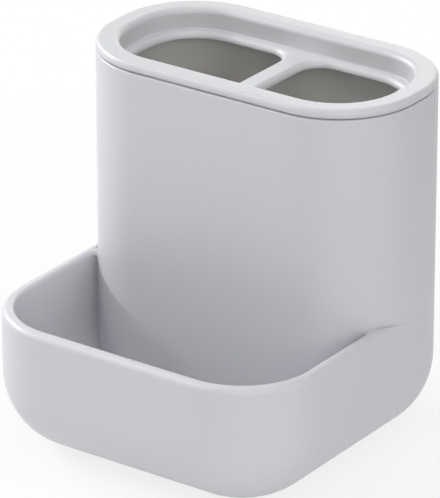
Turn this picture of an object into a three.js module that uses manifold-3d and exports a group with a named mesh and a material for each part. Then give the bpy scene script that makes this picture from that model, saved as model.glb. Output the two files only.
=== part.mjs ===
// Vanity caddy: a storage tower with a lift-out divided lid, moulded in one piece with an open front tray.
// Millimetres, +Z up, +X to the right, tray at the front (-Y), origin on the table under the middle.
import * as THREE from "three";
import Module from "manifold-3d";
import { mergeVertices } from "three/addons/utils/BufferGeometryUtils.js";

const wasm = await Module();
wasm.setup();

// Overall sizes
const WIDTH = 114;
const TOWER_DEPTH = 62;
const TRAY_REACH = 50.5; // how far the tray stands out in front of the tower
const HEIGHT = 119.6; // table to the top of the lid
const TRAY_HEIGHT = 45.8; // table to the tray's rim
const CORNER_RADIUS = 28; // upright corners of the tower and the tray
const SWEEP_IN = 22.4; // how far the bottom sweep reaches in under the sides
const SWEEP_UP = 24.5; // how far it reaches up the sides

// Body walls and edges
const WALL = 4;
const FLOOR = 4;
const CAVITY_TAPER = 0.6; // how much narrower the tower is inside at its floor, on each side
const TRAY_RIM_OUTER_RADIUS = 2.2;
const TRAY_RIM_INNER_RADIUS = 1.1;
const TOWER_EDGE_RADIUS = 0.5; // outer edge of the tower's mouth
const TOWER_FOOT_FILLET = 2.5; // blend from the tower's front down to the tray's rim
const TRAY_FLOOR_FILLET = 5; // blend from the tower's front down to the tray's floor

// Lid
const SEAM_GAP = 0.3; // dark line between the tower's mouth and the lid's flange
const LID_SIDE = 3; // height of the flange that shows
const LID_EDGE_RADIUS = 1.2;
const LID_LOWER_EDGE_RADIUS = 0.4;
const LID_CLEARANCE = 0.4; // gap round the plug, inside the tower
const PLUG_LEAD_IN = 0.8; // chamfer that guides the plug into the tower
const PLUG_WALL = 3.4; // wall between the plug's outside and the recess
const RECESS_DEPTH = 7.1; // rim to the ledge and the divider bar
const RECESS_EDGE_RADIUS = 2.1;
const RECESS_FILLET = 1.2;
const LEDGE_WIDTH = 2.8; // wall of the recess to the clear opening
const LEDGE_THICKNESS = 2.3;
const LIP_RADIUS = 1.3; // roll from the ledge into each opening
const BAR_WIDTH = 8.2;
const BAR_CORNER_RADIUS = 8; // corners of the openings beside the divider bar

// Foot pads
const PAD_RADIUS = 6;
const PAD_PROUD = 0.6; // how far a pad stands out of the underside
const PAD_SUNK = 1.2; // depth of its recess
const PAD_CLEARANCE = 0.3;
const PAD_EDGE_RADIUS = 0.3;
const PAD_MARGIN = 2; // flat left between a pad's recess and the bottom sweep

// How finely the round stretches are divided, in half steps for each quarter turn
const CORNER_STEPS = 6;
const SWEEP_STEPS = 4;
const EDGE_STEPS = 2;
const PAD_SIDES = 32;

// Spare lengths
const OVERCUT = 2; // how far a cutting shape passes the surface that it cuts
const LEAST_FLAT = 1; // flat that stays between two round corners

// Places that follow from the sizes
const depth = TOWER_DEPTH + TRAY_REACH;
const back = depth / 2;
const front = -back;
const towerFront = back - TOWER_DEPTH;
const side = WIDTH / 2;
const underside = PAD_PROUD;
const floorTop = underside + FLOOR;
const towerTop = HEIGHT - LID_SIDE - SEAM_GAP;
const flangeUnder = HEIGHT - LID_SIDE;
const ledge = HEIGHT - RECESS_DEPTH;
const lidUnder = ledge - LEDGE_THICKNESS;
const cornerRadius = Math.min(CORNER_RADIUS, (TOWER_DEPTH - LEAST_FLAT) / 2, (WIDTH - LEAST_FLAT) / 2);
const sweepIn = Math.min(SWEEP_IN, cornerRadius - LEAST_FLAT);
const sweepCentre = underside + SWEEP_UP;
const plugInset = WALL + LID_CLEARANCE;
const recessInset = plugInset + PLUG_WALL;
const openingInset = recessInset + LEDGE_WIDTH;
const lipRadius = Math.min(LIP_RADIUS, LEDGE_WIDTH - RECESS_FILLET, LEDGE_THICKNESS);

// A rounded outline, seen from above and anticlockwise. It can be drawn in evenly all round.
// radii: front right, back right, back left and front left corner.
function roundedOutline(bounds, radii) {
  return (inset) => {
    const [frontRight, backRight, backLeft, frontLeft] = radii.map((radius) => radius - inset);
    const turn = Math.PI / 2;
    return new THREE.Path()
      .absarc(bounds.right - radii[0], bounds.front + radii[0], frontRight, -turn, 0)
      .absarc(bounds.right - radii[1], bounds.back - radii[1], backRight, 0, turn)
      .absarc(bounds.left + radii[2], bounds.back - radii[2], backLeft, turn, 2 * turn)
      .absarc(bounds.left + radii[3], bounds.front + radii[3], frontLeft, 2 * turn, 3 * turn)
      .getPoints(CORNER_STEPS);
  };
}

// A closed solid from a stack of outlines that all have the same number of points.
function stack(rings) {
  const count = rings[0].length;
  const last = (rings.length - 1) * count;
  const triangles = [];
  for (let base = 0; base < last; base += count) {
    for (let i = 0; i < count; i++) {
      const a = base + i;
      const b = base + ((i + 1) % count);
      triangles.push(a, b, b + count, a, b + count, a + count);
    }
  }
  for (let i = 1; i + 1 < count; i++) {
    triangles.push(0, i + 1, i, last, last + i, last + i + 1);
  }
  const positions = rings.flat().flatMap((point) => point.toArray());
  const geometry = new THREE.BufferGeometry();
  geometry.setAttribute("position", new THREE.Float32BufferAttribute(positions, 3));
  geometry.setIndex(triangles);
  return solidOf(geometry);
}

// A solid whose outline is drawn in along a profile: x is the inset and y the height.
function loft(outline, profile, steps) {
  const rings = profile
    .getPoints(steps)
    .map(({ x: inset, y: height }) => outline(inset).map(({ x, y }) => new THREE.Vector3(x, y, height)));
  return stack(rings);
}

function solidOf(geometry) {
  const bare = geometry.clone();
  bare.deleteAttribute("normal");
  bare.deleteAttribute("uv");
  const merged = mergeVertices(bare);
  return new wasm.Manifold(
    new wasm.Mesh({
      numProp: 3,
      vertProperties: new Float32Array(merged.getAttribute("position").array),
      triVerts: new Uint32Array(merged.index.array),
    }),
  );
}

function meshOf(solid, name, material) {
  const { vertProperties, triVerts } = solid.getMesh();
  const geometry = new THREE.BufferGeometry();
  geometry.setAttribute("position", new THREE.BufferAttribute(vertProperties, 3));
  geometry.setIndex(new THREE.BufferAttribute(triVerts, 1));
  geometry.computeVertexNormals();
  const mesh = new THREE.Mesh(geometry, material);
  mesh.name = name;
  return mesh;
}

// Turns of a profile's arcs: a profile runs upwards, with the inset measured inwards from the outline.
const TO_UPRIGHT = [1.5 * Math.PI, Math.PI, true]; // from level to upright, round a lower outer edge
const TO_LEVEL = [Math.PI, 0.5 * Math.PI, true]; // from upright to level, round an upper outer edge
const TO_FLARE = [0, 0.5 * Math.PI, false]; // from upright to level outwards, at the mouth of a cut

const evenCorners = Array(4).fill(cornerRadius);
const towerBounds = { left: -side, right: side, front: towerFront, back };
const towerOutline = roundedOutline(towerBounds, evenCorners);
const caddyOutline = roundedOutline({ ...towerBounds, front }, evenCorners);

// The tower's outline with its front brought forward, so that a blend fades out towards the sides.
function towerOutlineForward(reach) {
  return roundedOutline({ ...towerBounds, front: towerFront - reach }, evenCorners)(0);
}

// Outlines of a hollow blend of the given radius from the tower's front to a level surface, going up.
function towerFoot(level, radius) {
  return new THREE.Path()
    .absarc(radius, level + radius, radius, ...TO_UPRIGHT)
    .getPoints(EDGE_STEPS)
    .map(({ x, y }) => lift(towerOutlineForward(x), y));
}

function lift(points, height) {
  return points.map(({ x, y }) => new THREE.Vector3(x, y, height));
}

// Base with the tray's rim, before it is hollowed out
function baseBlock() {
  const profile = new THREE.Path()
    .absellipse(sweepIn, sweepCentre, sweepIn, SWEEP_UP, ...TO_UPRIGHT)
    .absarc(TRAY_RIM_OUTER_RADIUS, TRAY_HEIGHT - TRAY_RIM_OUTER_RADIUS, TRAY_RIM_OUTER_RADIUS, ...TO_LEVEL);
  return loft(caddyOutline, profile, SWEEP_STEPS);
}

// Tower from inside the base up to its mouth, with the blend where its front meets the rim
function towerBlock() {
  const mouth = new THREE.Path()
    .absarc(TOWER_EDGE_RADIUS, towerTop - TOWER_EDGE_RADIUS, TOWER_EDGE_RADIUS, ...TO_LEVEL)
    .getPoints(EDGE_STEPS)
    .map(({ x: inset, y: height }) => lift(towerOutline(inset), height));
  const root = lift(towerOutlineForward(TOWER_FOOT_FILLET), TRAY_HEIGHT - TRAY_RIM_OUTER_RADIUS - OVERCUT);
  return stack([root, ...towerFoot(TRAY_HEIGHT, TOWER_FOOT_FILLET), ...mouth]);
}

// Space inside the tower, a little narrower at the floor
function towerSpace() {
  const narrow = WALL + CAVITY_TAPER;
  const profile = new THREE.Path()
    .absellipse(sweepIn, sweepCentre, sweepIn - narrow, SWEEP_UP - FLOOR, ...TO_UPRIGHT)
    .lineTo(WALL, towerTop + OVERCUT);
  return loft(towerOutline, profile, SWEEP_STEPS);
}

// Space inside the tray: the hollow base, less the tower that stands in it
function traySpace() {
  const lip = WALL - TRAY_RIM_INNER_RADIUS;
  const mouth = TRAY_HEIGHT + TOWER_FOOT_FILLET + OVERCUT;
  const profile = new THREE.Path()
    .absellipse(sweepIn, sweepCentre, sweepIn - WALL, SWEEP_UP - FLOOR, ...TO_UPRIGHT)
    .absarc(lip, TRAY_HEIGHT - TRAY_RIM_INNER_RADIUS, TRAY_RIM_INNER_RADIUS, ...TO_FLARE)
    .lineTo(lip, mouth);
  const buried = lift(towerOutlineForward(TRAY_FLOOR_FILLET), floorTop - OVERCUT);
  const clear = lift(towerOutlineForward(0), mouth + OVERCUT);
  const tower = stack([buried, ...towerFoot(floorTop, TRAY_FLOOR_FILLET), clear]);
  return loft(caddyOutline, profile, SWEEP_STEPS).subtract(tower);
}

// A round solid about the z axis, from the table side up
function turned(profile, x, y) {
  const geometry = new THREE.LatheGeometry(profile.getPoints(EDGE_STEPS), PAD_SIDES);
  geometry.rotateX(Math.PI / 2);
  geometry.translate(x, y, 0);
  return solidOf(geometry);
}

const padHeight = PAD_PROUD + PAD_SUNK - PAD_CLEARANCE;
const padInset = sweepIn + PAD_MARGIN + PAD_RADIUS;
const padX = side - padInset;
const padY = back - padInset;
const padPlaces = [
  { name: "foot_pad_front_left", x: -padX, y: -padY },
  { name: "foot_pad_front_right", x: padX, y: -padY },
  { name: "foot_pad_back_left", x: -padX, y: padY },
  { name: "foot_pad_back_right", x: padX, y: padY },
];

function footPad({ x, y }) {
  const shoulder = PAD_RADIUS - PAD_EDGE_RADIUS;
  const profile = new THREE.Path()
    .moveTo(0, 0)
    .lineTo(shoulder, 0)
    .absarc(shoulder, PAD_EDGE_RADIUS, PAD_EDGE_RADIUS, -0.5 * Math.PI, 0)
    .lineTo(PAD_RADIUS, padHeight)
    .lineTo(0, padHeight);
  return turned(profile, x, y);
}

function padRecess({ x, y }) {
  const radius = PAD_RADIUS + PAD_CLEARANCE;
  const profile = new THREE.Path()
    .moveTo(0, underside - OVERCUT)
    .lineTo(radius, underside - OVERCUT)
    .lineTo(radius, underside + PAD_SUNK)
    .lineTo(0, underside + PAD_SUNK);
  return turned(profile, x, y);
}

function caddyBody() {
  const hollow = baseBlock().add(towerBlock()).subtract(traySpace()).subtract(towerSpace());
  return padPlaces.reduce((body, place) => body.subtract(padRecess(place)), hollow);
}

// Flange and plug of the lid, before its recess and openings are cut
function lidBlock() {
  const profile = new THREE.Path()
    .moveTo(plugInset + PLUG_LEAD_IN, lidUnder)
    .lineTo(plugInset, lidUnder + PLUG_LEAD_IN)
    .lineTo(plugInset, flangeUnder)
    .absarc(LID_LOWER_EDGE_RADIUS, flangeUnder + LID_LOWER_EDGE_RADIUS, LID_LOWER_EDGE_RADIUS, ...TO_UPRIGHT)
    .absarc(LID_EDGE_RADIUS, HEIGHT - LID_EDGE_RADIUS, LID_EDGE_RADIUS, ...TO_LEVEL);
  return loft(towerOutline, profile, EDGE_STEPS);
}

// Recess inside the rim, from the ledge up
function lidRecess() {
  const mouth = recessInset - RECESS_EDGE_RADIUS;
  const profile = new THREE.Path()
    .absarc(recessInset + RECESS_FILLET, ledge + RECESS_FILLET, RECESS_FILLET, ...TO_UPRIGHT)
    .absarc(mouth, HEIGHT - RECESS_EDGE_RADIUS, RECESS_EDGE_RADIUS, ...TO_FLARE)
    .lineTo(mouth, HEIGHT + OVERCUT);
  return loft(towerOutline, profile, EDGE_STEPS);
}

// One of the two openings, on the left (-1) or the right (1) of the divider bar, with its rolled lip
function lidOpening(hand) {
  const outer = side - openingInset;
  const inner = BAR_WIDTH / 2;
  const bounds = {
    left: hand < 0 ? -outer : inner,
    right: hand < 0 ? -inner : outer,
    front: towerFront + openingInset,
    back: back - openingInset,
  };
  const outerRadius = cornerRadius - openingInset;
  const radii = hand < 0
    ? [BAR_CORNER_RADIUS, BAR_CORNER_RADIUS, outerRadius, outerRadius]
    : [outerRadius, outerRadius, BAR_CORNER_RADIUS, BAR_CORNER_RADIUS];
  const profile = new THREE.Path()
    .moveTo(0, lidUnder - OVERCUT)
    .lineTo(0, ledge - lipRadius)
    .absarc(-lipRadius, ledge - lipRadius, lipRadius, ...TO_FLARE)
    .lineTo(-lipRadius, ledge + OVERCUT);
  return loft(roundedOutline(bounds, radii), profile, EDGE_STEPS);
}

function liftOutLid() {
  return lidBlock().subtract(lidRecess()).subtract(lidOpening(-1)).subtract(lidOpening(1));
}

const satinGrey = new THREE.MeshStandardMaterial({ color: 0xcfd0d4, roughness: 0.45, metalness: 0 });
const satinGreyLid = new THREE.MeshStandardMaterial({ color: 0xd2d3d6, roughness: 0.45, metalness: 0 });

const caddy = new THREE.Group();
caddy.add(meshOf(caddyBody(), "caddy_body", satinGrey));
caddy.add(meshOf(liftOutLid(), "lift_out_lid", satinGreyLid));
for (const place of padPlaces) {
  const softGrey = new THREE.MeshStandardMaterial({ color: 0x9a9b9e, roughness: 0.8, metalness: 0 });
  caddy.add(meshOf(footPad(place), place.name, softGrey));
}

export default caddy;
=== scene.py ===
"""Vanity caddy: smooth mouldings, finishes, studio and camera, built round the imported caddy."""
import math

import bmesh
import bpy
from bpy.props import FloatProperty, FloatVectorProperty, PointerProperty
from mathutils import Matrix, Vector


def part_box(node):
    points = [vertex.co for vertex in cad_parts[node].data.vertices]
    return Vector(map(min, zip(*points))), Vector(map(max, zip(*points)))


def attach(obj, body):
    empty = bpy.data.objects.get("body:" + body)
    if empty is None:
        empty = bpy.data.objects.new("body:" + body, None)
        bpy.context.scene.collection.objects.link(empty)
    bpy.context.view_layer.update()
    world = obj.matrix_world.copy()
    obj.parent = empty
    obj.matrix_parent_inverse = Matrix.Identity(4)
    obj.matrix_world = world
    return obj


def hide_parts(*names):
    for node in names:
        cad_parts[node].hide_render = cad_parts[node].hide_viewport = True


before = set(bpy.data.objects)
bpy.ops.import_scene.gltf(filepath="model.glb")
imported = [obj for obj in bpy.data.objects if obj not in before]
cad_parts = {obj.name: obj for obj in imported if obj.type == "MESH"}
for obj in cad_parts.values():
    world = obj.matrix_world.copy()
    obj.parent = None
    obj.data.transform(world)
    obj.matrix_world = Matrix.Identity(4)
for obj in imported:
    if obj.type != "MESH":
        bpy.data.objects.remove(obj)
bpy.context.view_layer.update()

bl_info = {
    "name": "Vanity Caddy",
    "version": (1, 0, 0),
    "blender": (4, 5, 0),
    "location": "3D View > Sidebar > Caddy",
    "description": "Builds a vanity caddy with an open front tray and a lift-out divided lid",
    "category": "Object",
}

BODY_LOW, BODY_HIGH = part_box("caddy_body")
LID_LOW, LID_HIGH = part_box("lift_out_lid")
PADS = ("foot_pad_front_left", "foot_pad_front_right", "foot_pad_back_left", "foot_pad_back_right")
MM = 0.001
PHOTO_LONG_SIDE = 498

# How finely the round stretches are divided
CORNER_STEPS = 32
SWEEP_STEPS = 16
ROLL_STEPS = 8
CREASE_STEPS = 12
EDGE_STEPS = 5
SIDE_STEPS = 10
FRONT_STEPS = 12
PAD_SIDES = 48

FLOOR_SIDES = 128

MERGE_DISTANCE = 1e-6
SHARP_ANGLE = math.radians(38)

# Form of the rim's end: how its start bends round, how the valley fades in, and where the valley is deepest
RIM_START_POWER = 1.2
VALLEY_POWER = 0.7
VALLEY_SHARE = 0.7

# Grain of each material: scale, spread of tone, spread of gloss
PLASTIC_GRAIN = (2600, 0.02, 0.06)
RUBBER_GRAIN = (1400, 0.08, 0.1)

# Heights between which the painted warm shade on the tower's inside fades in, going up
PAINTED_SHADE_LOW = 26 * MM
PAINTED_SHADE_HIGH = 50 * MM

# Sockets of a mix node that is set to colours
MIX_FIRST = 6
MIX_SECOND = 7
MIX_RESULT = 2

FLOOR_ROUGHNESS = 0.9
FLOOR_SPECULAR = 0.1
WHITE = (1, 1, 1, 1)
BLACK = (0, 0, 0, 1)

# What the lamps look at, and the camera's film
LAMP_AIM = Vector((0, 0, 0.06))
SENSOR_WIDTH = 36
HALF_PIXEL = 0.5
CAMERA_CLIP_END = 20

# Soft lamps round the caddy: name, turn to the right of the front and height above the table in degrees,
# width and height of the lamp in metres, watts
LAMPS = (
    ("left key lamp", 272, 26, 0.7, 0.12, 11.5),
    ("high left lamp", 270, 45, 0.8, 0.8, 0.8),
    ("overhead lamp", 0, 88, 0.8, 0.8, 2.0),
    ("back lamp", 195, 20, 0.8, 0.8, 3.2),
    ("upper back lamp", 180, 72, 0.4, 0.4, 1.8),
    ("upper front lamp", 310, 50, 0.3, 0.3, 2.2),
    ("front left lamp", 315, 15, 0.8, 0.8, 2.2),
    ("front right lamp", 45, 15, 0.8, 0.8, 5.4),
    ("high right lamp", 45, 45, 0.8, 0.8, 2.7),
    ("right lamp", 90, 15, 0.8, 0.8, 2.6),
    ("upper right lamp", 100, 60, 0.3, 0.3, 1.6),
)


def length(name, default, description):
    """A size that the sidebar shows as a length."""
    return FloatProperty(
        name=name, description=description, default=default, unit="LENGTH", subtype="DISTANCE", precision=5
    )


def colour(name, default, description):
    """A colour that the sidebar shows as a swatch."""
    return FloatVectorProperty(
        name=name, description=description, default=default, size=3, subtype="COLOR", min=0, max=1
    )


def factor(name, default, description):
    """A plain number between nought and one."""
    return FloatProperty(name=name, description=description, default=default, subtype="FACTOR", min=0, max=1)


class CaddySizes(bpy.types.PropertyGroup):
    """Sizes of the mouldings"""

    side: length("Half width", BODY_HIGH.x, "Middle plane to the outside")
    back: length("Back", BODY_HIGH.y, "Place of the back")
    front: length("Front", BODY_LOW.y, "Place of the tray's front")
    tower_front: length("Tower front", LID_LOW.y, "Place of the tower's front")
    underside: length("Underside", BODY_LOW.z, "Table to the underside")
    tower_top: length("Tower top", BODY_HIGH.z, "Table to the tower's mouth")
    lid_top: length("Lid top", LID_HIGH.z, "Table to the lid's rim")
    lid_under: length("Lid underside", LID_LOW.z, "Table to the lid's underside")
    tray_height: length("Tray height", 45.8 * MM, "Table to the tray's rim")
    corner: length("Corner radius", 28 * MM, "Radius of the upright corners")
    sweep_in: length("Sweep in", 22.4 * MM, "How far the bottom sweep reaches in")
    sweep_up: length("Sweep up", 24.5 * MM, "How far the bottom sweep reaches up")
    wall: length("Wall", 4 * MM, "Thickness of the walls")
    floor: length("Floor", 4 * MM, "Thickness of the floor")
    taper: length("Taper", 0.6 * MM, "How much narrower the tower's space is at its floor")
    rim_outer: length("Rim outer radius", 2.2 * MM, "Outer rounding of the tray's rim")
    rim_inner: length("Rim inner radius", 1.1 * MM, "Inner rounding of the tray's rim")
    mouth_edge: length("Mouth edge", 0.7 * MM, "Rounding of the tower's mouth")
    crevice: length("Crevice blend", 1.26 * MM, "Blend between the tower's corners and the tray's walls, at the rim")
    crevice_low: length("Lower crevice blend", 0.3 * MM, "The same blend further down")
    crevice_fade: length("Crevice fade", 6 * MM, "Height over which that blend shrinks")
    rim_end: length("Rim end", 2.5 * MM, "Where the rim starts to roll down beside the tower, measured along the side")
    valley: length("Valley", 0.75 * MM, "Depth of the fine valley between the rim's end and the tower")
    floor_blend: length("Floor blend", 5 * MM, "Blend from the tower's front to the tray's floor")
    lid_side: length("Lid side", 3 * MM, "Height of the flange that shows")
    lid_edge_in: length("Lid edge in", 1.5 * MM, "How far the rounding of the lid's upper edge reaches in")
    lid_edge_down: length("Lid edge down", 1.7 * MM, "How far that rounding reaches down")
    lid_lower_edge: length("Lid lower edge", 0.9 * MM, "Rounding of the flange's lower edge")
    plug_inset: length("Plug inset", 4.4 * MM, "Outside of the lid to its plug")
    lead_in: length("Lead-in", 0.8 * MM, "Chamfer of the plug")
    recess_inset: length("Recess inset", 7.8 * MM, "Outside of the lid to the wall of its recess")
    recess_depth: length("Recess depth", 7.1 * MM, "Rim to the ledge")
    recess_edge: length("Recess edge", 2.1 * MM, "Rounding of the rim into the recess")
    recess_fillet: length("Recess fillet", 0.5 * MM, "Blend from the recess to the ledge")
    opening_inset: length("Opening inset", 10.6 * MM, "Outside of the lid to its openings")
    lip_out: length("Lip out", 2.2 * MM, "Width of the roll from the ledge into each opening")
    lip_down: length("Lip down", 2.1 * MM, "Height of that roll")
    lip_edge: length("Lip edge", 0.15 * MM, "Rounding of the lower edge of each opening")
    bar: length("Divider bar", 8.2 * MM, "Width of the bar between the openings")
    bar_corner: length("Bar corner", 8 * MM, "Corner radius of the openings beside the bar")
    pad_gap: length("Pad gap", 0.3 * MM, "Gap between a pad and its recess")
    pad_sunk: length("Pad recess", 1.2 * MM, "Depth of a pad's recess")
    pad_edge: length("Pad edge", 0.3 * MM, "Rounding of a pad's edge")
    support: length("Flat margin", 0.3 * MM, "Width of the line that keeps a flat stretch flat beside a rounding")


class CaddyFinish(bpy.types.PropertyGroup):
    """Colours and finishes"""

    body_colour: colour("Body colour", (0.628, 0.632, 0.663), "Light cool grey of the tower and the tray")
    # Painted shade: a warmer grey tint inside the tower that stands in for the warm light bounced about in its shade
    painted_inside_shade: colour("Painted inside shade", (0.66, 0.645, 0.62), "Warmer grey inside the tower")
    lid_colour: colour("Lid colour", (0.63, 0.637, 0.655), "Light grey of the lid")
    pad_colour: colour("Pad colour", (0.33, 0.33, 0.34), "Grey of the foot pads")
    plastic_roughness: factor("Plastic roughness", 0.39, "Satin gloss of the mouldings")
    pad_roughness: factor("Pad roughness", 0.75, "Dullness of the pads")
    grain_depth: length("Grain depth", 0.02 * MM, "Depth of the fine moulded grain")


class CaddyStage(bpy.types.PropertyGroup):
    """Studio light, floor and camera"""

    floor_colour: colour("Floor colour", (0.86, 0.86, 0.86), "Pale floor")
    floor_radius: length("Floor radius", 0.9, "Radius of the round floor")
    floor_middle: FloatVectorProperty(
        name="Floor middle", description="Middle of the floor, which reaches further to the left than to the right",
        default=(-0.55, -0.1, 0), unit="LENGTH", subtype="XYZ",
    )
    floor_white: factor("Floor white", 0.8, "How much of the floor beside the caddy is seen as plain white")
    fade_near: length("Fade near", 0.07, "From the caddy's middle to where the floor starts to turn plain white")
    fade_far: length("Fade far", 0.3, "From the caddy's middle to where the floor is all plain white")
    lamp_level: FloatProperty(
        name="Lamp level", description="Strength of all the lamps together", default=1, min=0, subtype="FACTOR"
    )
    lamp_distance: length("Lamp distance", 1.3, "Point that the lamps look at to each lamp")
    azimuth: FloatProperty(
        name="Azimuth", description="Turn of the camera to the right", default=math.radians(35.43), subtype="ANGLE"
    )
    elevation: FloatProperty(
        name="Elevation", description="Camera above the table", default=math.radians(24.03), subtype="ANGLE"
    )
    roll: FloatProperty(name="Roll", description="Tilt of the camera", default=math.radians(-0.06), subtype="ANGLE")
    distance: length("Distance", 1.43899, "Camera to the point that it looks at")
    focal_pixels: FloatProperty(
        name="Focal length", description="Focal length in pixels of the picture", default=4600, subtype="PIXEL"
    )
    target: FloatVectorProperty(
        name="Target", description="Point that the camera looks at",
        default=(0.00006, 0.00085, 0.0616), unit="LENGTH", subtype="XYZ",
    )


def bend(inset, height, across, up, start, end, steps):
    """Insets and heights along part of an ellipse about a centre, from start to end in degrees."""
    turns = [math.radians(start + (end - start) * i / steps) for i in range(steps + 1)]
    return [(inset + across * math.cos(t), height + up * math.sin(t)) for t in turns]


def corner_arc(centre, radius, start, steps=CORNER_STEPS):
    """Places and outward directions on a quarter turn, from start degrees."""
    turns = [math.radians(start + 90 * i / steps) for i in range(steps + 1)]
    return [
        (Vector((centre[0] + radius * math.cos(t), centre[1] + radius * math.sin(t), 0)),
         Vector((math.cos(t), math.sin(t), 0)))
        for t in turns
    ]


def rounded_outline(left, right, front, back, radii):
    """A rounded outline, anticlockwise from the front right corner: places and outward directions."""
    front_right, back_right, back_left, front_left = radii
    return [
        *corner_arc((right - front_right, front + front_right), front_right, -90),
        *corner_arc((right - back_right, back - back_right), back_right, 0),
        *corner_arc((left + back_left, back - back_left), back_left, 90),
        *corner_arc((left + front_left, front + front_left), front_left, 180),
    ]


def drawn_in(outline, inset, height):
    """The outline's places, drawn in evenly and brought to a height."""
    return [place - out * inset + Vector((0, 0, height)) for place, out in outline]


def new_ring(bm, places):
    """A closed loop of edges through the places."""
    ring = bmesh.ops.create_circle(bm, segments=len(places), radius=1)["verts"]
    for vert, place in zip(ring, places):
        vert.co = place
    return ring


def loop_edges(bm, ring, closed=True):
    """The edges between neighbours of a ring or a line of vertices."""
    following = ring[1:] + ring[:1] if closed else ring[1:]
    return [bm.edges.get(pair) for pair in zip(ring, following)]


def extrude_line(bm, ring, places, closed=True):
    """Extrudes a ring or a line once and brings the new vertices to their places."""
    made = bmesh.ops.extrude_edge_only(bm, edges=loop_edges(bm, ring, closed))["geom"]
    fresh = {item for item in made if isinstance(item, bmesh.types.BMVert)}
    moved = []
    for vert, place in zip(ring, places):
        twin = next(e.other_vert(vert) for e in vert.link_edges if e.other_vert(vert) in fresh)
        twin.co = place
        moved.append(twin)
    return moved


def sweep(bm, ring, outline, profile):
    """Extrudes a ring along a profile of insets and heights."""
    for inset, height in profile:
        ring = extrude_line(bm, ring, drawn_in(outline, inset, height))
    return ring


def fill(bm, *rings):
    """Flat faces inside the first ring, round the others."""
    edges = [edge for ring in rings for edge in loop_edges(bm, ring)]
    bmesh.ops.triangle_fill(bm, edges=edges, use_beauty=True, use_dissolve=False)


def finish_piece(bm, name, material, body, node):
    """Welds the mesh, points its faces outwards, makes the object and ties it to the frame."""
    bmesh.ops.remove_doubles(bm, verts=bm.verts, dist=MERGE_DISTANCE)
    bmesh.ops.dissolve_degenerate(bm, edges=bm.edges, dist=MERGE_DISTANCE)
    bmesh.ops.recalc_face_normals(bm, faces=bm.faces)
    loose = [edge for edge in bm.edges if len(edge.link_faces) != 2]
    if loose:
        raise RuntimeError(f"{name} isn't closed: {len(loose)} edges")
    for face in bm.faces:
        face.smooth = True
    for edge in bm.edges:
        edge.smooth = edge.calc_face_angle() < SHARP_ANGLE
    mesh = bpy.data.meshes.new(name)
    bm.to_mesh(mesh)
    bm.free()
    mesh.materials.append(material)
    piece = bpy.data.objects.new(name, mesh)
    bpy.context.scene.collection.objects.link(piece)
    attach(piece, body)
    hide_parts(node)


# Body

def tray_stations(s):
    """Inset and height of each line over the tray's rim, and of each line down its inside to the floor."""
    floor_top = s.underside + s.floor
    lip = s.wall - s.rim_inner
    sweep_centre = s.underside + s.sweep_up
    outer = bend(s.rim_outer, s.tray_height - s.rim_outer, s.rim_outer, s.rim_outer, 180, 90, ROLL_STEPS)
    inner = bend(lip, s.tray_height - s.rim_inner, s.rim_inner, s.rim_inner, 90, 0, EDGE_STEPS)
    down = bend(s.sweep_in, sweep_centre, s.sweep_in - s.wall, s.sweep_up - s.floor, 180, 270, SWEEP_STEPS)
    rim_inside = s.tray_height - s.rim_inner
    straight = [(s.wall, rim_inside - s.crevice_fade * i / EDGE_STEPS) for i in range(1, EDGE_STEPS + 1)]
    return [*outer, *inner], [*straight, *down, (s.sweep_in + s.support, floor_top)]


def floor_reach(s, height):
    """How far the tower's front stands forward of its upper part at a height near the tray's floor."""
    above = height - s.underside - s.floor
    if above >= s.floor_blend:
        return 0
    return s.floor_blend - math.sqrt(s.floor_blend**2 - (s.floor_blend - above) ** 2)


def crevice_reach(s, inset, wall, height):
    """How far the blend between the tower's corner and the tray's wall stands forward of the tower."""
    from_rim = min(max((s.tray_height - s.rim_inner - height) / s.crevice_fade, 0), 1)
    from_floor = min(max((height - s.underside - s.floor) / s.crevice_fade, 0), 1)
    radius = (s.crevice_low + (s.crevice - s.crevice_low) * (1 - from_rim) ** 2) * from_floor
    hub = s.corner - wall - radius
    touch = s.corner - s.corner * hub / (s.corner + radius)
    if inset >= touch:
        return 0
    across = s.corner - inset
    blend = math.sqrt((s.corner + radius) ** 2 - hub**2) - math.sqrt(max(radius**2 - (across - hub) ** 2, 0))
    return blend - math.sqrt(s.corner**2 - across**2)


def rim_reach(s, inset):
    """How far forward of the tower the rim starts to roll down towards it."""
    share = max(inset - s.rim_outer, 0) / (s.wall - s.rim_outer)
    return s.rim_end + (crevice_reach(s, s.wall, s.wall, s.tray_height) - s.rim_end) * share**RIM_START_POWER


def valley_depth(s, inset):
    """Depth of the valley beside the tower: it fades out at the side and at the rim's inner edge."""
    return s.valley * math.sin(math.pi * min(inset / s.wall, 1) ** VALLEY_POWER)


def tower_corner(s, inset):
    """Place and outward direction on the tower's front right corner, at an inset from the caddy's side."""
    across = s.corner - inset
    out = Vector((across, -math.sqrt(max(s.corner**2 - across**2, 0)), 0)) / s.corner
    centre = Vector((s.side - s.corner, s.tower_front + s.corner, 0))
    return centre + out * s.corner, out


def tray_line(s, inset, height, meet):
    """One line round the tray, from the tower on the left to the tower on the right."""
    side = s.side - inset
    turn = s.front + s.corner
    middle = s.side - s.corner
    shares = [i / SIDE_STEPS for i in range(SIDE_STEPS)]
    left = [Vector((-side, meet + (turn - meet) * share, 0)) for share in shares]
    right = [Vector((side, meet + (turn - meet) * share, 0)) for share in reversed(shares)]
    corners = corner_arc((-middle, turn), s.corner - inset, 180) + corner_arc((middle, turn), s.corner - inset, 270)
    rise = Vector((0, 0, height))
    return [place + rise for place in [*left, *(place for place, _ in corners), *right]]


def mirrored(vector):
    """The same vector on the other side of the caddy's middle plane."""
    return Vector((-vector.x, vector.y, vector.z))


def forward(place, reach, height):
    """A place of the tower's outline, brought forward and to a height."""
    return Vector((place.x, place.y - reach, height))


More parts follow.
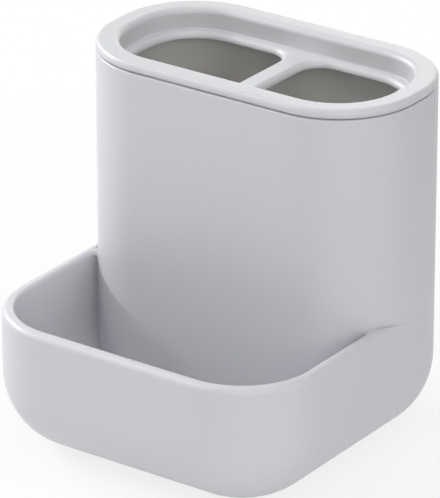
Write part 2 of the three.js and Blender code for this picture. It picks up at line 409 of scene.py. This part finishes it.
class Column:
    """One upright line of the tower's outside, and how the rim or the tray's wall comes up to it."""

    def __init__(self, place, out, start, inset, reach=0.0, valley=0.0, lift=0.0, base=None):
        self.place = place
        self.out = out
        self.start = start
        self.inset = inset
        self.reach = reach
        self.valley = valley
        self.lift = lift
        self.base = start.z if base is None else base

    def mirrored(self):
        """The same line on the other side of the caddy."""
        return Column(
            mirrored(self.place), mirrored(self.out), mirrored(self.start),
            self.inset, self.reach, self.valley, self.lift, self.base,
        )

    def towards_tower(self, share):
        """A place on the way from the rim's end to the tower."""
        rounded = math.sin(math.pi / 2 * min(share * self.reach / self.lift, 1)) if self.lift else 0
        fall = (1 - math.cos(math.pi * min(share / VALLEY_SHARE, 1))) / 2
        height = self.base + self.lift * rounded - self.valley * fall
        return forward(self.place, self.reach * (1 - share), height)


def body_mesh(s):
    """The moulded body: sides and bottom, the tray's rim and inside, then the tower and its inside."""
    bm = bmesh.new()
    floor_top = s.underside + s.floor
    shoulder = s.tray_height - s.rim_outer
    rim_inside = s.tray_height - s.rim_inner
    middle = s.side - s.corner
    sideways = Vector((1, 0, 0))
    rim, inside = tray_stations(s)
    stations = rim + inside
    reaches = [rim_reach(s, inset) for inset, _ in rim]
    reaches += [crevice_reach(s, inset, inset, height) + floor_reach(s, height) for inset, height in inside]
    reaches[-1] += s.support
    meets = [tower_corner(s, inset)[0].y - reach for (inset, _), reach in zip(stations, reaches)]

    # Outline at the foot of the rim's outer rounding: round the back of the tower, then round the tray
    corner_start, _ = tower_corner(s, 0)
    meeting = Vector((s.side, meets[0], 0))
    rear = [
        (meeting, sideways),
        (corner_start, sideways),
        *corner_arc((middle, s.back - s.corner), s.corner, 0),
        *corner_arc((-middle, s.back - s.corner), s.corner, 90),
        (mirrored(corner_start), -sideways),
        (mirrored(meeting), -sideways),
    ]
    around = tray_line(s, 0, 0, meets[0])[1:-1]
    turn = s.front + s.corner
    tray = []
    for place in around:
        hub = Vector((math.copysign(middle, place.x), max(place.y, turn), 0))
        tray.append((place, (place - hub).normalized()))
    outline = rear + tray
    ring = new_ring(bm, drawn_in(outline, 0, shoulder))

    # Sides, bottom sweep and underside with the recesses of the pads
    sweep_centre = s.underside + s.sweep_up
    down = bend(s.sweep_in, sweep_centre, s.sweep_in, s.sweep_up, 180, 270, SWEEP_STEPS)
    under = sweep(bm, ring, outline, [*down, (s.sweep_in + s.support, s.underside)])
    holes = []
    for name in PADS:
        low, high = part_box(name)
        hub = (low + high) / 2
        radius = (high.x - low.x) / 2 + s.pad_gap
        seat = pad_circle(hub, radius)
        hole = new_ring(bm, drawn_in(seat, 0, s.underside))
        holes.append(hole)
        deep = sweep(bm, hole, seat, [(0, s.underside + s.pad_sunk)])
        fill(bm, deep)
    fill(bm, under, *holes)

    # Rim and inside of the tray, line by line
    line = ring[len(rear) - 1:] + ring[:1]
    lefts, rights = [line[0]], [line[-1]]
    for (inset, height), meet in zip(stations[1:], meets[1:]):
        line = extrude_line(bm, line, tray_line(s, inset, height, meet), closed=False)
        lefts.append(line[0])
        rights.append(line[-1])

    # Upright lines of the tower, from the back and along the tray to the back again
    columns = []
    for vert, (place, out) in zip(ring[:len(rear)], rear):
        columns.append(Column(place, out, vert.co.copy(), 0))
    for column in (columns[0], columns[-1]):
        column.place = corner_start if column.place.x > 0 else mirrored(corner_start)
        column.reach = rim_reach(s, 0)
    right_columns = []
    for (inset, height), vert in zip(rim[1:], rights[1:]):
        place, out = tower_corner(s, inset)
        lift = s.tray_height - height if inset > s.rim_outer else 0
        shape = rim_reach(s, inset), valley_depth(s, inset), lift
        right_columns.append(Column(place, out, vert.co.copy(), inset, *shape))
    for (inset, _), vert in zip(inside, rights[len(rim):]):
        place, out = tower_corner(s, inset)
        web = crevice_reach(s, inset, s.wall, rim_inside)
        right_columns.append(Column(place, out, vert.co.copy(), inset, web, 0, s.rim_inner, rim_inside))
    left_columns = [column.mirrored() for column in right_columns]
    last_inset = stations[-1][0]
    rest = [tower_corner(s, last_inset + (s.corner - last_inset) * i / EDGE_STEPS) for i in range(1, EDGE_STEPS + 1)]
    bottom = []
    for place, out in rest:
        bottom.append((mirrored(place), mirrored(out)))
    for i in range(1, FRONT_STEPS):
        across = -middle + 2 * middle * i / FRONT_STEPS
        bottom.append((Vector((across, s.tower_front, 0)), Vector((0, -1, 0))))
    bottom.extend(reversed(rest))
    reach = s.floor_blend + s.support
    floor_line = [lefts[-1]]
    for place, _ in bottom:
        step = bmesh.ops.extrude_vert_indiv(bm, verts=floor_line[-1:])["verts"][0]
        step.co = forward(place, reach, floor_top)
        floor_line.append(step)
    bm.edges.new((floor_line[-1], rights[-1]))
    fill(bm, [*line, *reversed(floor_line[1:])])
    columns += left_columns
    columns += [Column(p, out, forward(p, reach, floor_top), s.corner, base=rim_inside) for p, out in bottom]
    columns += reversed(right_columns)
    loop = ring[:len(rear)] + lefts[1:] + floor_line[1:] + list(reversed(rights[1:]))

    # Front of the tower, up from the tray's floor, then the end of the rim beside it
    for wall, height in [*inside[-2::-1], (s.wall, rim_inside)]:
        reach = floor_reach(s, height)
        loop = extrude_line(bm, loop, [
            forward(c.place, reach + crevice_reach(s, c.inset, wall, height), height)
            if c.base == rim_inside and c.start.z <= height + MERGE_DISTANCE else c.start
            for c in columns
        ])
    for i in range(1, CREASE_STEPS + 1):
        loop = extrude_line(bm, loop, [c.towards_tower(i / CREASE_STEPS) for c in columns])

    # Tower's sides, mouth and space inside
    tower = [(c.place, c.out) for c in columns]
    edge = s.mouth_edge
    clear = s.tray_height + s.support
    profile = [
        (0, clear),
        *bend(edge, s.tower_top - edge, edge, edge, 180, 90, EDGE_STEPS),
        *bend(s.wall - edge, s.tower_top - edge, edge, edge, 90, 0, EDGE_STEPS),
        *bend(
            s.sweep_in, sweep_centre, s.sweep_in - s.wall - s.taper, s.sweep_up - s.floor, 180, 270, SWEEP_STEPS
        ),
        (s.sweep_in + s.support, floor_top),
    ]
    sweep(bm, loop, tower, profile)
    bmesh.ops.remove_doubles(bm, verts=bm.verts, dist=MERGE_DISTANCE)
    open_edges = [edge for edge in bm.edges if edge.is_boundary]
    bmesh.ops.triangle_fill(bm, edges=open_edges, use_beauty=True, use_dissolve=False)
    return bm


# Foot pads

def pad_circle(hub, radius):
    """Places and outward directions round a pad."""
    turns = [2 * math.pi * i / PAD_SIDES for i in range(PAD_SIDES)]
    outs = [Vector((math.cos(t), math.sin(t), 0)) for t in turns]
    return [(Vector((hub.x, hub.y, 0)) + out * radius, out) for out in outs]


def pad_mesh(s, name):
    """One round pad with a rounded lower edge."""
    bm = bmesh.new()
    low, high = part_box(name)
    outline = pad_circle((low + high) / 2, (high.x - low.x) / 2)
    edge = s.pad_edge
    ring = new_ring(bm, drawn_in(outline, 2 * edge, low.z))
    top = sweep(bm, ring, outline, [*bend(edge, low.z + edge, edge, edge, 270, 180, EDGE_STEPS), (0, high.z)])
    fill(bm, ring)
    fill(bm, top)
    return bm


# Lid

def lid_mesh(s):
    """The lid: from its ledge up over the rim and down to the plug, then the two openings."""
    bm = bmesh.new()
    outline = rounded_outline(-s.side, s.side, s.tower_front, s.back, [s.corner] * 4)
    ledge = s.lid_top - s.recess_depth
    flange = s.lid_top - s.lid_side
    fillet, lower, roll = s.recess_fillet, s.lid_lower_edge, s.recess_edge
    mouth = s.recess_inset - roll
    narrow = (s.opening_inset - s.lip_out - s.recess_inset - fillet) / 4
    ring = new_ring(bm, drawn_in(outline, s.recess_inset + fillet + narrow, ledge))
    profile = [
        *bend(s.recess_inset + fillet, ledge + fillet, fillet, fillet, 270, 180, EDGE_STEPS),
        *bend(mouth, s.lid_top - roll, roll, roll, 0, 90, ROLL_STEPS),
        (mouth - s.support, s.lid_top),
        (s.lid_edge_in + s.support, s.lid_top),
        *bend(s.lid_edge_in, s.lid_top - s.lid_edge_down, s.lid_edge_in, s.lid_edge_down, 90, 180, ROLL_STEPS),
        *bend(lower, flange + lower, lower, lower, 180, 270, EDGE_STEPS),
        (s.plug_inset, flange),
        (s.plug_inset, s.lid_under + s.lead_in),
        (s.plug_inset + s.lead_in, s.lid_under),
    ]
    under = sweep(bm, ring, outline, profile)
    outer = s.side - s.opening_inset
    inner = s.bar / 2
    round_end = s.corner - s.opening_inset
    front, back = s.tower_front + s.opening_inset, s.back - s.opening_inset
    openings = [
        rounded_outline(-outer, -inner, front, back, [s.bar_corner, s.bar_corner, round_end, round_end]),
        rounded_outline(inner, outer, front, back, [round_end, round_end, s.bar_corner, s.bar_corner]),
    ]
    upper_rings, lower_rings = [], []
    for opening in openings:
        upper = new_ring(bm, drawn_in(opening, -s.lip_out - narrow, ledge))
        down = sweep(bm, upper, opening, [
            *bend(-s.lip_out, ledge - s.lip_down, s.lip_out, s.lip_down, 90, 0, ROLL_STEPS),
            *bend(-s.lip_edge, s.lid_under + s.lip_edge, s.lip_edge, s.lip_edge, 0, -90, EDGE_STEPS),
        ])
        upper_rings.append(upper)
        lower_rings.append(down)
    fill(bm, ring, *upper_rings)
    fill(bm, under, *lower_rings)
    return bm


# Finishes

def node_at(tree, kind, place, **values):
    """A new node with its inputs set."""
    node = tree.nodes.new(kind)
    node.location = place
    for name, value in values.items():
        node.inputs[name.replace("_", " ")].default_value = value
    return node


def moulded_grain():
    """Fine moulded grain: a height for bumps and a slow drift of tone."""
    group = bpy.data.node_groups.new("Moulded grain", "ShaderNodeTree")
    inputs = (("Grain scale", 2600.0), ("Drift scale", 22.0), ("Tone spread", 0.02), ("Gloss spread", 0.05))
    for name, default in inputs:
        group.interface.new_socket(name, in_out="INPUT", socket_type="NodeSocketFloat").default_value = default
    for name in ("Height", "Tone", "Gloss"):
        group.interface.new_socket(name, in_out="OUTPUT", socket_type="NodeSocketFloat")
    start = group.nodes.new("NodeGroupInput")
    start.location = (-800, 0)
    end = group.nodes.new("NodeGroupOutput")
    end.location = (600, 0)
    place = group.nodes.new("ShaderNodeTexCoord")
    place.location = (-800, 260)
    grain = node_at(group, "ShaderNodeTexNoise", (-400, 260), Detail=2.0, Roughness=0.55)
    drift = node_at(group, "ShaderNodeTexNoise", (-400, -60), Detail=2.0, Roughness=0.5)
    links = group.links
    for noise, scale in ((grain, "Grain scale"), (drift, "Drift scale")):
        links.new(place.outputs["Object"], noise.inputs["Vector"])
        links.new(start.outputs[scale], noise.inputs["Scale"])
    links.new(grain.outputs["Fac"], end.inputs["Height"])
    for spread, output, place_y in (("Tone spread", "Tone", -60), ("Gloss spread", "Gloss", -260)):
        centred = group.nodes.new("ShaderNodeMath")
        centred.operation = "SUBTRACT"
        centred.location = (-120, place_y)
        centred.inputs[1].default_value = 0.5
        links.new(drift.outputs["Fac"], centred.inputs[0])
        spread_node = group.nodes.new("ShaderNodeMath")
        spread_node.operation = "MULTIPLY_ADD"
        spread_node.location = (140, place_y)
        spread_node.inputs[2].default_value = 1.0
        links.new(centred.outputs[0], spread_node.inputs[0])
        links.new(start.outputs[spread], spread_node.inputs[1])
        links.new(spread_node.outputs[0], end.inputs[output])
    return group


def moulded_material(name, base, roughness, depth, grain_scale, tone, gloss):
    """A moulded surface: its colour drifts a little, with fine grain under the gloss."""
    material = bpy.data.materials.new(name)
    material.use_nodes = True
    tree = material.node_tree
    shader = tree.nodes["Principled BSDF"]
    group = bpy.data.node_groups.get("Moulded grain") or moulded_grain()
    grain = tree.nodes.new("ShaderNodeGroup")
    grain.node_tree = group
    grain.location = (-760, 0)
    grain.inputs["Grain scale"].default_value = grain_scale
    grain.inputs["Tone spread"].default_value = tone
    grain.inputs["Gloss spread"].default_value = gloss
    tint = tree.nodes.new("ShaderNodeVectorMath")
    tint.name = "Tint"
    tint.operation = "SCALE"
    tint.location = (-400, 200)
    tint.inputs[0].default_value = base
    satin = tree.nodes.new("ShaderNodeMath")
    satin.operation = "MULTIPLY"
    satin.location = (-400, 0)
    satin.inputs[1].default_value = roughness
    bump = node_at(tree, "ShaderNodeBump", (-400, -220), Strength=1.0, Distance=depth)
    links = tree.links
    links.new(grain.outputs["Tone"], tint.inputs["Scale"])
    links.new(tint.outputs["Vector"], shader.inputs["Base Color"])
    links.new(grain.outputs["Gloss"], satin.inputs[0])
    links.new(satin.outputs[0], shader.inputs["Roughness"])
    links.new(grain.outputs["Height"], bump.inputs["Height"])
    links.new(bump.outputs["Normal"], shader.inputs["Normal"])
    return material


def tower_inside():
    """A mask of the tower's inside, where the painted shade tint goes, from the distance to its rounded outline."""
    group = bpy.data.node_groups.new("Tower inside", "ShaderNodeTree")
    group.interface.new_socket("Corner reach", in_out="INPUT", socket_type="NodeSocketFloat")
    for name in ("Middle", "Corner hubs"):
        group.interface.new_socket(name, in_out="INPUT", socket_type="NodeSocketVector")
    group.interface.new_socket("Mask", in_out="OUTPUT", socket_type="NodeSocketFloat")
    start = group.nodes.new("NodeGroupInput")
    start.location = (-1200, 0)
    end = group.nodes.new("NodeGroupOutput")
    end.location = (600, 0)
    place = group.nodes.new("ShaderNodeTexCoord")
    place.location = (-1200, 260)
    links = group.links
    reach = place.outputs["Object"]
    for i, (operation, socket) in enumerate(
        (("SUBTRACT", "Middle"), ("ABSOLUTE", None), ("SUBTRACT", "Corner hubs"), ("MAXIMUM", None))
    ):
        step = group.nodes.new("ShaderNodeVectorMath")
        step.operation = operation
        step.location = (-960 + 200 * i, 200)
        links.new(reach, step.inputs[0])
        if socket:
            links.new(start.outputs[socket], step.inputs[1])
        reach = step.outputs["Vector"]
    size = group.nodes.new("ShaderNodeVectorMath")
    size.operation = "LENGTH"
    size.location = (-160, 200)
    links.new(reach, size.inputs[0])
    within = node_at(group, "ShaderNodeMath", (40, 200))
    within.operation = "LESS_THAN"
    links.new(size.outputs["Value"], within.inputs[0])
    links.new(start.outputs["Corner reach"], within.inputs[1])
    height = group.nodes.new("ShaderNodeSeparateXYZ")
    height.location = (-960, -120)
    links.new(place.outputs["Object"], height.inputs[0])
    above = node_at(
        group, "ShaderNodeMapRange", (-160, -120), From_Min=PAINTED_SHADE_LOW, From_Max=PAINTED_SHADE_HIGH
    )
    links.new(height.outputs["Z"], above.inputs["Value"])
    both = node_at(group, "ShaderNodeMath", (300, 0))
    both.operation = "MULTIPLY"
    links.new(within.outputs[0], both.inputs[0])
    links.new(above.outputs["Result"], both.inputs[1])
    links.new(both.outputs[0], end.inputs["Mask"])
    return group


def paint_inside_shade(material, s, inside):
    """Paints a warmer shade tint on the inside of the tower, standing in for the warm light bounced about in its
    shade.
    """
    tree = material.node_tree
    mask = tree.nodes.new("ShaderNodeGroup")
    mask.node_tree = tower_inside()
    mask.location = (-960, 460)
    mask.inputs["Corner reach"].default_value = s.corner - s.wall + s.support
    mask.inputs["Middle"].default_value = (0, (s.tower_front + s.back) / 2, 0)
    mask.inputs["Corner hubs"].default_value = (s.side - s.corner, (s.back - s.tower_front) / 2 - s.corner, s.lid_top)
    tint = tree.nodes["Tint"]
    mix = tree.nodes.new("ShaderNodeMix")
    mix.data_type = "RGBA"
    mix.location = (-640, 400)
    mix.inputs[MIX_FIRST].default_value = (*tint.inputs[0].default_value, 1)
    mix.inputs[MIX_SECOND].default_value = (*inside, 1)
    tree.links.new(mask.outputs["Mask"], mix.inputs[0])
    tree.links.new(mix.outputs[MIX_RESULT], tint.inputs[0])


class CADDY_OT_body(bpy.types.Operator):
    """Make the moulded body with its tower and tray"""

    bl_idname = "caddy.make_body"
    bl_label = "Make Body"

    def execute(self, context):
        finish = context.scene.caddy_finish
        satin = moulded_material(
            "Satin body plastic", finish.body_colour, finish.plastic_roughness, finish.grain_depth, *PLASTIC_GRAIN
        )
        # Painted shade: the tower's inside gets a warmer tint for the light bounced about in there
        paint_inside_shade(satin, context.scene.caddy_sizes, finish.painted_inside_shade)
        bm = body_mesh(context.scene.caddy_sizes)
        finish_piece(bm, "caddy_moulding", satin, "body", "caddy_body")
        return {"FINISHED"}


class CADDY_OT_lid(bpy.types.Operator):
    """Make the lift-out lid with its recess, openings and divider bar"""

    bl_idname = "caddy.make_lid"
    bl_label = "Make Lid"

    def execute(self, context):
        finish = context.scene.caddy_finish
        satin = moulded_material(
            "Satin lid plastic", finish.lid_colour, finish.plastic_roughness, finish.grain_depth, *PLASTIC_GRAIN
        )
        bm = lid_mesh(context.scene.caddy_sizes)
        finish_piece(bm, "lid_moulding", satin, "lid", "lift_out_lid")
        return {"FINISHED"}


class CADDY_OT_pads(bpy.types.Operator):
    """Make the four soft pads under the body"""

    bl_idname = "caddy.make_pads"
    bl_label = "Make Pads"

    def execute(self, context):
        finish = context.scene.caddy_finish
        rubber = moulded_material(
            "Pad rubber", finish.pad_colour, finish.pad_roughness, 2 * finish.grain_depth, *RUBBER_GRAIN
        )
        for name in PADS:
            bm = pad_mesh(context.scene.caddy_sizes, name)
            finish_piece(bm, name.replace("foot_pad", "soft_pad"), rubber, "body", name)
        return {"FINISHED"}


# Stage

def soft_lamp(name, place, aim, width, height, watts):
    """A soft lamp that looks at a point."""
    data = bpy.data.lights.new(name, "AREA")
    data.shape = "RECTANGLE"
    data.size = width
    data.size_y = height
    data.energy = watts
    lamp = bpy.data.objects.new(name, data)
    bpy.context.scene.collection.objects.link(lamp)
    lamp.location = place
    lamp.rotation_euler = (aim - place).to_track_quat("-Z", "Y").to_euler()


def direction(turn, rise):
    """From the caddy towards a place at a turn to the right of the front and a height above the table."""
    return Vector((math.sin(turn) * math.cos(rise), -math.cos(turn) * math.cos(rise), math.sin(rise)))


def seen_rays(tree):
    """One for rays from the camera and for those that a gloss or a clear piece sends on, nought for others."""
    path = tree.nodes.new("ShaderNodeLightPath")
    path.location = (-800, 300)
    seen = path.outputs["Is Camera Ray"]
    for i, name in enumerate(("Is Glossy Ray", "Is Transmission Ray")):
        either = tree.nodes.new("ShaderNodeMath")
        either.operation = "MAXIMUM"
        either.location = (-560 + 200 * i, 300)
        tree.links.new(seen, either.inputs[0])
        tree.links.new(path.outputs[name], either.inputs[1])
        seen = either.outputs[0]
    return seen


def mix_shaders(tree, fac, first, second, output):
    """Mixes two shaders by a factor and gives them to the output."""
    mix = tree.nodes.new("ShaderNodeMixShader")
    mix.location = (100, 300)
    tree.links.new(fac, mix.inputs["Fac"])
    tree.links.new(first.outputs[0], mix.inputs[1])
    tree.links.new(second.outputs[0], mix.inputs[2])
    tree.links.new(mix.outputs[0], tree.nodes[output].inputs["Surface"])


def make_floor(scene, stage):
    """A pale floor that keeps the caddy's shadow near it and turns plain white further out."""
    bm = bmesh.new()
    middle = Matrix.Translation(Vector(stage.floor_middle))
    bmesh.ops.create_circle(bm, cap_ends=True, segments=FLOOR_SIDES, radius=stage.floor_radius, matrix=middle)
    mesh = bpy.data.meshes.new("floor")
    bm.to_mesh(mesh)
    bm.free()
    floor = bpy.data.objects.new("floor", mesh)
    scene.collection.objects.link(floor)
    pale = bpy.data.materials.new("Pale floor")
    pale.use_nodes = True
    tree = pale.node_tree
    shader = tree.nodes["Principled BSDF"]
    shader.inputs["Base Color"].default_value = (*stage.floor_colour, 1)
    shader.inputs["Roughness"].default_value = FLOOR_ROUGHNESS
    shader.inputs["Specular IOR Level"].default_value = FLOOR_SPECULAR
    white = node_at(tree, "ShaderNodeEmission", (-160, -200), Color=WHITE, Strength=1)
    spot = tree.nodes.new("ShaderNodeTexCoord")
    spot.location = (-800, 60)
    away = tree.nodes.new("ShaderNodeVectorMath")
    away.operation = "LENGTH"
    away.location = (-560, 60)
    fade = node_at(
        tree, "ShaderNodeMapRange", (-360, 60),
        From_Min=stage.fade_near, From_Max=stage.fade_far, To_Min=stage.floor_white, To_Max=1,
    )
    share = tree.nodes.new("ShaderNodeMath")
    share.operation = "MULTIPLY"
    share.location = (-160, 300)
    tree.links.new(spot.outputs["Object"], away.inputs[0])
    tree.links.new(away.outputs["Value"], fade.inputs["Value"])
    tree.links.new(seen_rays(tree), share.inputs[0])
    tree.links.new(fade.outputs["Result"], share.inputs[1])
    mix_shaders(tree, share.outputs[0], shader, white, "Material Output")
    mesh.materials.append(pale)


def make_world(scene):
    """A world that is seen as white and gives no light of its own."""
    world = bpy.data.worlds.new("Studio")
    world.use_nodes = True
    scene.world = world
    tree = world.node_tree
    dark = tree.nodes["Background"]
    dark.inputs["Color"].default_value = BLACK
    white = node_at(tree, "ShaderNodeBackground", (-160, 100), Color=WHITE, Strength=1)
    mix_shaders(tree, seen_rays(tree), dark, white, "World Output")


def make_camera(scene, stage):
    """The camera that was fitted to the photo."""
    camera = bpy.data.objects.new("camera", bpy.data.cameras.new("camera"))
    scene.collection.objects.link(camera)
    scene.camera = camera
    back = direction(stage.azimuth, stage.elevation)
    right = Vector((math.cos(stage.azimuth), math.sin(stage.azimuth), 0))
    up = back.cross(right)
    tilt, level = math.sin(stage.roll), math.cos(stage.roll)
    right, up = level * right + tilt * up, level * up - tilt * right
    matrix = Matrix((right, up, back)).transposed().to_4x4()
    matrix.translation = Vector(stage.target) + back * stage.distance
    camera.matrix_world = matrix
    camera.data.sensor_width = SENSOR_WIDTH
    camera.data.lens = stage.focal_pixels * SENSOR_WIDTH / PHOTO_LONG_SIDE
    camera.data.shift_x = -HALF_PIXEL / PHOTO_LONG_SIDE
    camera.data.shift_y = HALF_PIXEL / PHOTO_LONG_SIDE
    camera.data.clip_end = CAMERA_CLIP_END


class CADDY_OT_stage(bpy.types.Operator):
    """Make the floor, the light and the camera"""

    bl_idname = "caddy.make_stage"
    bl_label = "Make Stage"

    def execute(self, context):
        scene = context.scene
        stage = scene.caddy_stage
        make_floor(scene, stage)
        make_world(scene)
        for name, turn, rise, width, height, watts in LAMPS:
            place = LAMP_AIM + direction(math.radians(turn), math.radians(rise)) * stage.lamp_distance
            soft_lamp(name, place, LAMP_AIM, width, height, watts * stage.lamp_level)
        make_camera(scene, stage)
        scene.view_settings.view_transform = "Standard"
        return {"FINISHED"}


class CADDY_PT_sidebar(bpy.types.Panel):
    """Sizes, finishes and pieces of the caddy"""

    bl_idname = "CADDY_PT_sidebar"
    bl_label = "Vanity Caddy"
    bl_space_type = "VIEW_3D"
    bl_region_type = "UI"
    bl_category = "Caddy"

    def draw(self, context):
        layout = self.layout
        for operator in (CADDY_OT_body, CADDY_OT_lid, CADDY_OT_pads, CADDY_OT_stage):
            layout.operator(operator.bl_idname)
        for settings in (context.scene.caddy_sizes, context.scene.caddy_finish, context.scene.caddy_stage):
            box = layout.box()
            for name in settings.__annotations__:
                box.prop(settings, name)


CLASSES = (
    CaddySizes,
    CaddyFinish,
    CaddyStage,
    CADDY_OT_body,
    CADDY_OT_lid,
    CADDY_OT_pads,
    CADDY_OT_stage,
    CADDY_PT_sidebar,
)


def register():
    for cls in CLASSES:
        bpy.utils.register_class(cls)
    bpy.types.Scene.caddy_sizes = PointerProperty(type=CaddySizes)
    bpy.types.Scene.caddy_finish = PointerProperty(type=CaddyFinish)
    bpy.types.Scene.caddy_stage = PointerProperty(type=CaddyStage)


def unregister():
    del bpy.types.Scene.caddy_stage
    del bpy.types.Scene.caddy_finish
    del bpy.types.Scene.caddy_sizes
    for cls in reversed(CLASSES):
        bpy.utils.unregister_class(cls)


def main():
    register()
    bpy.ops.caddy.make_body()
    bpy.ops.caddy.make_lid()
    bpy.ops.caddy.make_pads()
    bpy.ops.caddy.make_stage()


if __name__ == "__main__":
    main()
